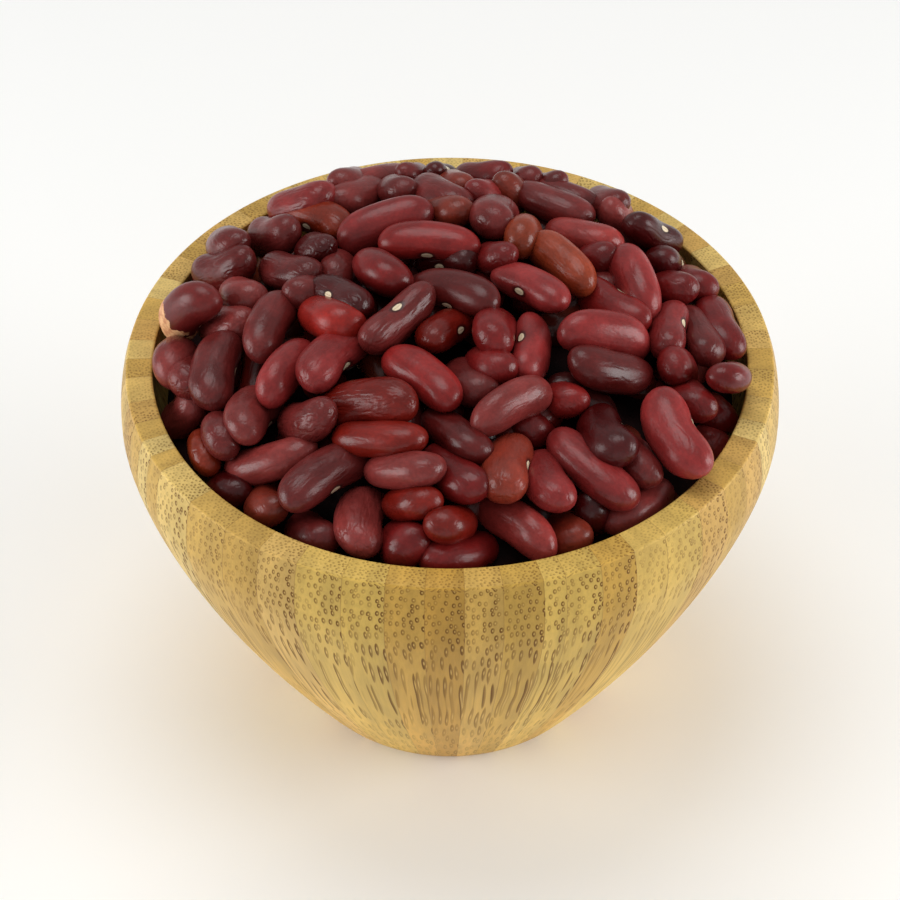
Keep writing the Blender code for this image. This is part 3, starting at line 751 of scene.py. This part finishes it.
# Tones of the staves in soft light, and those of the front ones by their place from the left
STAVE_TONES = ((212, 176, 97), (205, 166, 84), (216, 184, 107), (200, 159, 84), (209, 171, 95),
               (196, 157, 77), (218, 188, 114))
FRONT_TONES = {4: (209, 174, 89), 5: (205, 170, 84), 6: (198, 156, 70), 7: (190, 146, 61),
               8: (203, 163, 81), 9: (194, 155, 70), 10: (207, 172, 86), 11: (203, 168, 83),
               12: (194, 153, 68), 13: (207, 172, 89), 14: (211, 176, 91)}
DOT_TONE = (108, 70, 14)
DOT_HEART_TONE = (214, 182, 112)
SEAM_TONE = (122, 82, 34)
FIBRE_SPACING = (1.30, 0.80)
RIM_CROWDING = 0.6
FRONT_DENSITY = 0.85

# Below, a pair of numbers for a ramp says where a change starts and ends, and a four also says
# its first and last value. Noise runs between these two for most of a surface.
NOISE_SPAN = (0.3, 0.7)

# Bean skin, with scales per mm: changes of tone, gloss, folds and fine unevenness
BLOTCH_SCALE = 0.16
BLOTCH_TONES = (0.80, 1.20)
STREAK_SCALE = (0.16, 0.9, 0.9)
STREAK_TONES = (0.94, 1.06)
MOTTLE_SCALE = 1.5
MOTTLE_TONES = (0.88, 1.12)
SKIN_ROUGHNESS = (0.27, 0.36)
SKIN_GLOSS = 0.36
FOLD_SCALE = (0.16, 0.50, 0.50)
FOLD_SPAN = (0.0, 0.12)
FOLD_BUMP = (0.5, 0.00030)
FINE_SCALE = 1.3
FINE_BUMP = (0.18, 0.00022)

# Hilum: its half length and half width in mm, its dark edge and pale middle in shares of those,
# its slit in mm, and their colours and strengths
HILUM_SIZE = (1.15, 0.62)
HILUM_SIDE = (0.0, 0.5)
HILUM_EDGE = (1.9, 1.2)
HILUM_EDGE_TONE = (38, 14, 14)
HILUM_EDGE_SHARE = 0.75
HILUM_PALE = (1.05, 0.85)
HILUM_TONE = (226, 208, 176)
SLIT_WIDTH = (0.16, 0.04)
SLIT_TONE = (150, 120, 88)
SLIT_SHARE = 0.35

# Bare patch of a bean: where along the bean it starts in mm, the scale and reach of its ragged
# edge, and its tones
CHIP_EDGE = (4.7, 5.0)
CHIP_RAGGED = (0.5, 5.0)
CHIP_SCALE = 0.9
CHIP_SPAN = (0.35, 0.65)
CHIP_TONES = ((196, 132, 92), (232, 182, 132))
CHIP_ROUGHNESS = 0.3

# Fibre bundles of bamboo on end, each a dark ring with a pale heart. Distances from a bundle's
# middle are shares of the spacing, and heights are in metres.
WANDER_SCALE = (0.10, 0.10, 0.05)
WANDER_REACH = (1.6, 1.0, 0.0)
BUNDLE_SPREAD = 0.62
ROW_OFFSET = 0.5
BUNDLE_SHAPE = (1.15, 0.88)
RING_INSIDE = (0.02, 0.16)
RING_OUTSIDE = (0.37, 0.27)
RING_SHADE = (-0.22, 0.26, 1.40, 0.70)
HEART = (0.14, 0.03)
HEART_SHARE = 0.6
RING_LEAST = 0.46
RING_MORE = 0.50
RING_CROWDING = 1.4
STAVE_SPAN = (0.3, 1.0, 0.45, 1.0)
BUNDLE_SPAN = (0.0, 0.5, 0.45, 1.0)
FOOT_FADE = (0.012, 0.046, 0.38, 1.0)
RIM_FADE = (0.0, 1.0, 1.0, 0.68)

# Tone of the bamboo: threads, blotches, across a stave, painted light up the wall, over the rim, a
# painted highlight at its arris
THREAD_SCALE = (2.2, 2.2, 0.10)
THREAD_TONES = (0.94, 1.06)
WOOD_BLOTCH_SCALE = (0.25, 0.10, 0.05)
WOOD_BLOTCH_TONES = (0.88, 1.10)
STAVE_CHANGE = (0.2, 1.0, 1.03, 0.94)
# Painted light: the wall is painted lighter low down and darker near the top, for light bounced up
# from the floor
WALL_PAINTED_LIGHT = (0.012, 0.058, 1.22, 0.89)
# This lifts the rim top back out of the painted darkening of the upper wall
RIM_CHANGE = (0.0, 1.0, 1.0, 1.12)
# A painted highlight: the tone is raised in a thin line along the rim's rounded edges
ARRIS_IN = (0.05, 0.35)
ARRIS_OUT = (0.95, 0.6)
ARRIS_HIGHLIGHT_SHARE = 0.10
SEAM_EDGE = (0.482, 0.497)
SEAM_SHARE = 0.35
SEAM_DEPTH = 0.8
PIT_BUMP = (0.35, 0.00012)
WOOD_ROUGHNESS = 0.44
RING_ROUGHNESS = 0.18
WOOD_GLOSS = 0.25

# Painted shade between the beans
SHADE_SCALE = 160.0
SHADE_SPAN = (0.35, 0.65)
SHADE_TONES = ((10, 3, 3), (26, 8, 8))
SHADE_BUMP = (1.0, 0.002)
SHADE_ROUGHNESS = 0.8
SHADE_GLOSS = 0.1


class Shader:
    """A material's node tree, with short ways to add to it."""

    def __init__(self, name):
        self.material = bpy.data.materials.new(name)
        self.material.use_nodes = True
        self.tree = self.material.node_tree
        self.surface = self.tree.nodes["Principled BSDF"]

    def add(self, kind, inputs, **settings):
        """Add a node. A socket among the inputs is linked, and a value is set."""
        node = self.tree.nodes.new(kind)
        for title, value in settings.items():
            setattr(node, title, value)
        for title, value in inputs.items():
            self.feed(node.inputs[title], value)
        return node

    def feed(self, socket, value):
        if isinstance(value, bpy.types.NodeSocket):
            self.tree.links.new(value, socket)
        else:
            socket.default_value = value

    def attribute(self, title):
        return self.add("ShaderNodeAttribute", {}, attribute_name=title)

    def calc(self, operation, first, second=0.0, clamp=False):
        node = self.add("ShaderNodeMath", {0: first, 1: second}, operation=operation)
        node.use_clamp = clamp
        return node.outputs[0]

    def vector(self, operation, first, second=(0.0, 0.0, 0.0)):
        return self.add("ShaderNodeVectorMath", {0: first, 1: second}, operation=operation)

    def ramp(self, value, low, high, start=0.0, end=1.0):
        """A smooth change from start to end as a value goes from low to high."""
        node = self.add("ShaderNodeMapRange", {
            "Value": value, "From Min": low, "From Max": high, "To Min": start, "To Max": end},
            interpolation_type="SMOOTHSTEP")
        return node.outputs["Result"]

    def noise(self, place, scale, detail=2.0, roughness=0.5):
        node = self.add("ShaderNodeTexNoise", {
            "Vector": place, "Scale": scale, "Detail": detail, "Roughness": roughness})
        return node.outputs["Fac"]

    def mix(self, share, first, second, blend="MIX"):
        node = self.tree.nodes.new("ShaderNodeMix")
        node.data_type = "RGBA"
        node.blend_type = blend
        self.feed(node.inputs["Factor"], share)
        self.feed(node.inputs[6], first)
        self.feed(node.inputs[7], second)
        return node.outputs[2]

    def bump(self, height, strength, distance, below=None):
        inputs = {"Height": height, "Strength": strength, "Distance": distance}
        if below is not None:
            inputs["Normal"] = below
        return self.add("ShaderNodeBump", inputs).outputs["Normal"]

    def finish(self, **inputs):
        for title, value in inputs.items():
            self.feed(self.surface.inputs[title.replace("_", " ")], value)
        return self.material


def bean_skin():
    """Satin bean skin: each bean's tint, blotches, wrinkles, a pale hilum and a chip."""
    shader = Shader("bean skin")
    tint = shader.attribute("tint").outputs["Color"]
    skin = shader.attribute("skin").outputs["Vector"]
    marks = shader.add("ShaderNodeSeparateXYZ", {
        "Vector": shader.attribute("marks").outputs["Vector"]}).outputs
    local = shader.add("ShaderNodeSeparateXYZ", {
        "Vector": shader.attribute("local").outputs["Vector"]}).outputs

    blotch = shader.noise(skin, BLOTCH_SCALE)
    drawn_out = shader.vector("MULTIPLY", skin, STREAK_SCALE).outputs["Vector"]
    streak = shader.noise(drawn_out, 1.0, 4.0, 0.6)
    light = shader.ramp(blotch, *NOISE_SPAN, *BLOTCH_TONES)
    streaks = shader.ramp(streak, *NOISE_SPAN, *STREAK_TONES)
    mottle = shader.noise(skin, MOTTLE_SCALE, 3.0, 0.6)
    mottle = shader.ramp(mottle, *NOISE_SPAN, *MOTTLE_TONES)
    tone = shader.calc("MULTIPLY", shader.calc("MULTIPLY", light, streaks), mottle)
    colour = shader.vector("SCALE", tint)
    shader.feed(colour.inputs["Scale"], tone)
    colour = colour.outputs["Vector"]

    long_way = shader.calc("DIVIDE", local["X"], HILUM_SIZE[0])
    short_way = shader.calc("DIVIDE", local["Z"], HILUM_SIZE[1])
    apart = shader.calc("SQRT", shader.calc(
        "ADD", shader.calc("POWER", shader.calc("ABSOLUTE", long_way), 2.0),
        shader.calc("POWER", shader.calc("ABSOLUTE", short_way), 2.0)))
    hollow_side = shader.ramp(local["Y"], *HILUM_SIDE)
    ring = shader.calc("MULTIPLY", shader.ramp(apart, *HILUM_EDGE), hollow_side)
    pale = shader.calc("MULTIPLY", shader.ramp(apart, *HILUM_PALE), hollow_side)
    slit = shader.ramp(shader.calc("ABSOLUTE", local["Z"]), *SLIT_WIDTH)
    ring = shader.calc("MULTIPLY", ring, HILUM_EDGE_SHARE)
    colour = shader.mix(ring, colour, linear(HILUM_EDGE_TONE))
    slit = shader.calc("MULTIPLY", slit, SLIT_SHARE)
    cream = shader.mix(slit, linear(HILUM_TONE), linear(SLIT_TONE))
    colour = shader.mix(pale, colour, cream)

    ragged = shader.calc("ADD", local["X"], shader.calc(
        "MULTIPLY", shader.noise(skin, CHIP_RAGGED[0], 3.0), CHIP_RAGGED[1]))
    chip = shader.calc("MULTIPLY", shader.ramp(ragged, *CHIP_EDGE), marks["Y"])
    bare = shader.ramp(shader.noise(skin, CHIP_SCALE, 3.0, 0.6), *CHIP_SPAN)
    bare = shader.mix(bare, linear(CHIP_TONES[0]), linear(CHIP_TONES[1]))
    colour = shader.mix(chip, colour, bare)

    folds_place = shader.vector("MULTIPLY", skin, FOLD_SCALE).outputs["Vector"]
    folds = shader.noise(folds_place, 1.0, 2.0, 0.5)
    folds = shader.calc("ABSOLUTE", shader.calc("SUBTRACT", folds, 0.5))
    folds = shader.ramp(folds, *FOLD_SPAN)
    folds = shader.calc("MULTIPLY", folds, marks["X"])
    normal = shader.bump(folds, *FOLD_BUMP)
    fine = shader.noise(skin, FINE_SCALE, 3.0, 0.6)
    normal = shader.bump(fine, *FINE_BUMP, normal)
    rough = shader.ramp(blotch, *NOISE_SPAN, *SKIN_ROUGHNESS)
    rough = shader.calc("ADD", rough, shader.calc("MULTIPLY", chip, CHIP_ROUGHNESS))
    return shader.finish(Base_Color=colour, Roughness=rough, Normal=normal,
                         Specular_IOR_Level=SKIN_GLOSS)


def bamboo():
    """Bamboo on end: rings of fibre bundles, denser to one edge of each stave, and seams."""
    shader = Shader("bamboo")
    tint = shader.attribute("tint").outputs["Color"]
    grain = shader.attribute("grain").outputs["Vector"]
    stave = shader.add("ShaderNodeSeparateXYZ", {
        "Vector": shader.attribute("stave").outputs["Vector"]}).outputs

    slow = shader.vector("MULTIPLY", grain, WANDER_SCALE).outputs["Vector"]
    wander = shader.add("ShaderNodeTexNoise", {
        "Vector": slow, "Scale": 1.0, "Detail": 1.0}).outputs["Color"]
    wander = shader.vector("SUBTRACT", wander, (0.5, 0.5, 0.5)).outputs["Vector"]
    wander = shader.vector("MULTIPLY", wander, WANDER_REACH).outputs["Vector"]
    place = shader.vector("ADD", grain, wander).outputs["Vector"]
    steps = shader.add("ShaderNodeSeparateXYZ", {"Vector": shader.vector("MULTIPLY", place, (
        1.0 / FIBRE_SPACING[0], 1.0 / FIBRE_SPACING[1], 0.0)).outputs["Vector"]}).outputs
    half_row = shader.calc("MULTIPLY", steps["Y"], ROW_OFFSET)
    cells = shader.add("ShaderNodeCombineXYZ", {
        "X": shader.calc("ADD", steps["X"], half_row), "Y": steps["Y"]}).outputs["Vector"]
    bundles = shader.add("ShaderNodeTexVoronoi", {
        "Vector": cells, "Scale": 1.0, "Randomness": BUNDLE_SPREAD}, voronoi_dimensions="2D")
    own = shader.add("ShaderNodeSeparateColor", {
        "Color": bundles.outputs["Color"]}).outputs
    heart = shader.vector("SUBTRACT", cells, bundles.outputs["Position"]).outputs["Vector"]
    heart = shader.add("ShaderNodeSeparateXYZ", {"Vector": heart}).outputs
    side = shader.calc("SUBTRACT", heart["X"], shader.calc("MULTIPLY", heart["Y"], ROW_OFFSET))
    apart = shader.add("ShaderNodeCombineXYZ", {
        "X": shader.calc("MULTIPLY", side, BUNDLE_SHAPE[0]),
        "Y": shader.calc("MULTIPLY", heart["Y"], BUNDLE_SHAPE[1])}).outputs["Vector"]
    apart = shader.vector("LENGTH", apart).outputs["Value"]

    hollow = shader.calc("MAXIMUM", shader.ramp(apart, *RING_INSIDE), stave["Z"])
    ring = shader.calc("MULTIPLY", hollow, shader.ramp(apart, *RING_OUTSIDE))
    crescent = shader.ramp(side, *RING_SHADE)
    ring = shader.calc("MULTIPLY", ring, crescent)
    edge = shader.calc("POWER", stave["X"], RING_CROWDING)
    dense = shader.calc("ADD", shader.calc("MULTIPLY", edge, RING_MORE), RING_LEAST)
    dense = shader.calc("MULTIPLY", dense, shader.ramp(stave["Y"], *STAVE_SPAN))
    some = shader.ramp(own["Red"], *BUNDLE_SPAN)
    ring = shader.calc("MULTIPLY", shader.calc("MULTIPLY", ring, dense), some)
    height = shader.add("ShaderNodeSeparateXYZ", {
        "Vector": shader.add("ShaderNodeTexCoord", {}).outputs["Object"]}).outputs["Z"]
    fade = shader.calc("MULTIPLY", shader.ramp(height, *FOOT_FADE),
                       shader.ramp(stave["Z"], *RIM_FADE))
    ring = shader.calc("MULTIPLY", ring, fade, clamp=True)
    on_wall = shader.calc("MULTIPLY", stave["Z"], HEART_SHARE)
    on_wall = shader.calc("SUBTRACT", HEART_SHARE, on_wall)
    pale_heart = shader.calc("MULTIPLY", shader.ramp(apart, *HEART), shader.calc(
        "MULTIPLY", dense, on_wall))

    thread_place = shader.vector("MULTIPLY", grain, THREAD_SCALE).outputs["Vector"]
    threads = shader.noise(thread_place, 1.0, 3.0, 0.6)
    blotch_place = shader.vector("MULTIPLY", grain, WOOD_BLOTCH_SCALE).outputs["Vector"]
    blotch = shader.noise(blotch_place, 1.0, 2.0)
    tone = shader.calc("MULTIPLY", shader.ramp(threads, *NOISE_SPAN, *THREAD_TONES),
                       shader.ramp(blotch, *NOISE_SPAN, *WOOD_BLOTCH_TONES))
    tone = shader.calc("MULTIPLY", tone, shader.ramp(stave["X"], *STAVE_CHANGE))
    # painted light: lighter low on the wall, darker towards the rim
    tone = shader.calc("MULTIPLY", tone, shader.ramp(height, *WALL_PAINTED_LIGHT))
    # painted highlight along the rim's rounded edges
    arris = shader.calc("MULTIPLY", shader.ramp(stave["Z"], *ARRIS_IN),
                        shader.ramp(stave["Z"], *ARRIS_OUT))
    tone = shader.calc("MULTIPLY", tone, shader.calc("ADD", 1.0, shader.calc(
        "MULTIPLY", arris, ARRIS_HIGHLIGHT_SHARE)))
    tone = shader.calc("MULTIPLY", tone, shader.ramp(stave["Z"], *RIM_CHANGE))
    colour = shader.vector("SCALE", tint)
    shader.feed(colour.inputs["Scale"], tone)
    colour = shader.mix(ring, colour.outputs["Vector"], linear(DOT_TONE))
    colour = shader.mix(pale_heart, colour, linear(DOT_HEART_TONE))
    seam = shader.calc("ABSOLUTE", shader.calc("SUBTRACT", stave["X"], 0.5))
    seam = shader.ramp(seam, *SEAM_EDGE)
    colour = shader.mix(shader.calc("MULTIPLY", seam, SEAM_SHARE), colour, linear(SEAM_TONE))

    pits = shader.calc("ADD", ring, shader.calc("MULTIPLY", seam, SEAM_DEPTH))
    normal = shader.bump(shader.calc("MULTIPLY", pits, -1.0), *PIT_BUMP)
    rough = shader.calc("ADD", WOOD_ROUGHNESS, shader.calc("MULTIPLY", ring, RING_ROUGHNESS))
    return shader.finish(Base_Color=colour, Roughness=rough, Normal=normal,
                         Specular_IOR_Level=WOOD_GLOSS)


def painted_shade_core():
    """Painted shade between the beans: a near-black surface with a little unevenness."""
    shader = Shader("heap shade")
    place = shader.add("ShaderNodeTexCoord", {}).outputs["Object"]
    spots = shader.noise(place, SHADE_SCALE, 3.0)
    share = shader.ramp(spots, *SHADE_SPAN)
    colour = shader.mix(share, linear(SHADE_TONES[0]), linear(SHADE_TONES[1]))
    normal = shader.bump(spots, *SHADE_BUMP)
    return shader.finish(Base_Color=colour, Roughness=SHADE_ROUGHNESS, Normal=normal,
                         Specular_IOR_Level=SHADE_GLOSS)


def plain(name, tone, roughness):
    shader = Shader(name)
    return shader.finish(Base_Color=linear(tone), Roughness=roughness)


# Stage

def aim(thing, target):
    """Turn a lamp or camera to look at a point."""
    way = np.array(target) - np.array(thing.location)
    flat = math.hypot(way[0], way[1])
    thing.rotation_euler = (math.atan2(flat, -way[2]), 0.0, math.atan2(-way[0], way[1]))


def lamp(name, place, size, power, group):
    light = bpy.data.lights.new(name, "AREA")
    light.shape = "DISK"
    light.size = size
    light.energy = power
    thing = bpy.data.objects.new(name, light)
    thing.location = place
    aim(thing, AIM)
    group.objects.link(thing)


def make_stage(group):
    mesh = bpy.data.meshes.new("floor")
    half = FLOOR_SIZE / 2
    corners = [(-half, -half, 0.0), (half, -half, 0.0), (half, half, 0.0), (-half, half, 0.0)]
    mesh.from_pydata(corners, [], [(0, 1, 2, 3)])
    mesh.materials.append(plain("floor paper", FLOOR_TONE, FLOOR_ROUGHNESS))
    floor = bpy.data.objects.new("floor", mesh)
    group.objects.link(floor)
    for name, (place, size, power) in LAMPS.items():
        lamp(name, place, size, power, group)
    world = bpy.data.worlds.new("studio")
    world.use_nodes = True
    backdrop = world.node_tree.nodes["Background"]
    backdrop.inputs["Color"].default_value = (1.0, 1.0, 1.0, 1.0)
    backdrop.inputs["Strength"].default_value = WORLD_STRENGTH
    bpy.context.scene.world = world
    bpy.context.scene.view_settings.view_transform = "Standard"


def make_camera(group):
    camera = bpy.data.cameras.new("photo_view")
    camera.sensor_width = SENSOR
    camera.lens = FOCUS_PIXELS / (2 * MIDDLE_PIXEL) * SENSOR
    thing = bpy.data.objects.new("photo_view", camera)
    thing.location = EYE
    aim(thing, EYE + FORWARD)
    group.objects.link(thing)
    bpy.context.scene.camera = thing


def main():
    group = bpy.data.collections.new("bowl_of_beans_looks")
    bpy.context.scene.collection.children.link(group)
    heap = Heap()
    heap.lay_seen(SEEN_BEANS)
    heap.lay_seen(DEEP_BEANS)
    shown = len(heap.beans)
    heap.lay_under()
    beans = [(index, *bean) for index, bean in enumerate(heap.beans)]
    skin = bean_skin()
    pieces = []
    for name, tones in KINDS.items():
        own = [bean for bean in beans[:shown] if bean[TONE_PLACE] in tones]
        pieces.append(bean_piece(name, own, BEAN_SIDES, BEAN_RINGS, 1.0, group))
    pieces.append(bean_piece("beans_under", beans[shown:], UNDER_SIDES, UNDER_RINGS, UNDER_PAINTED_SHADE,
                             group))
    for piece in pieces:
        piece.data.materials.append(skin)
    core = core_piece(group)
    core.data.materials.append(painted_shade_core())
    pieces.append(core)
    for piece in pieces:
        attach(piece, "root")
        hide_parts("beans")
    bowl = bowl_piece(group)
    bowl.data.materials.append(bamboo())
    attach(bowl, "root")
    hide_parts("bowl")
    make_stage(group)
    make_camera(group)


main()
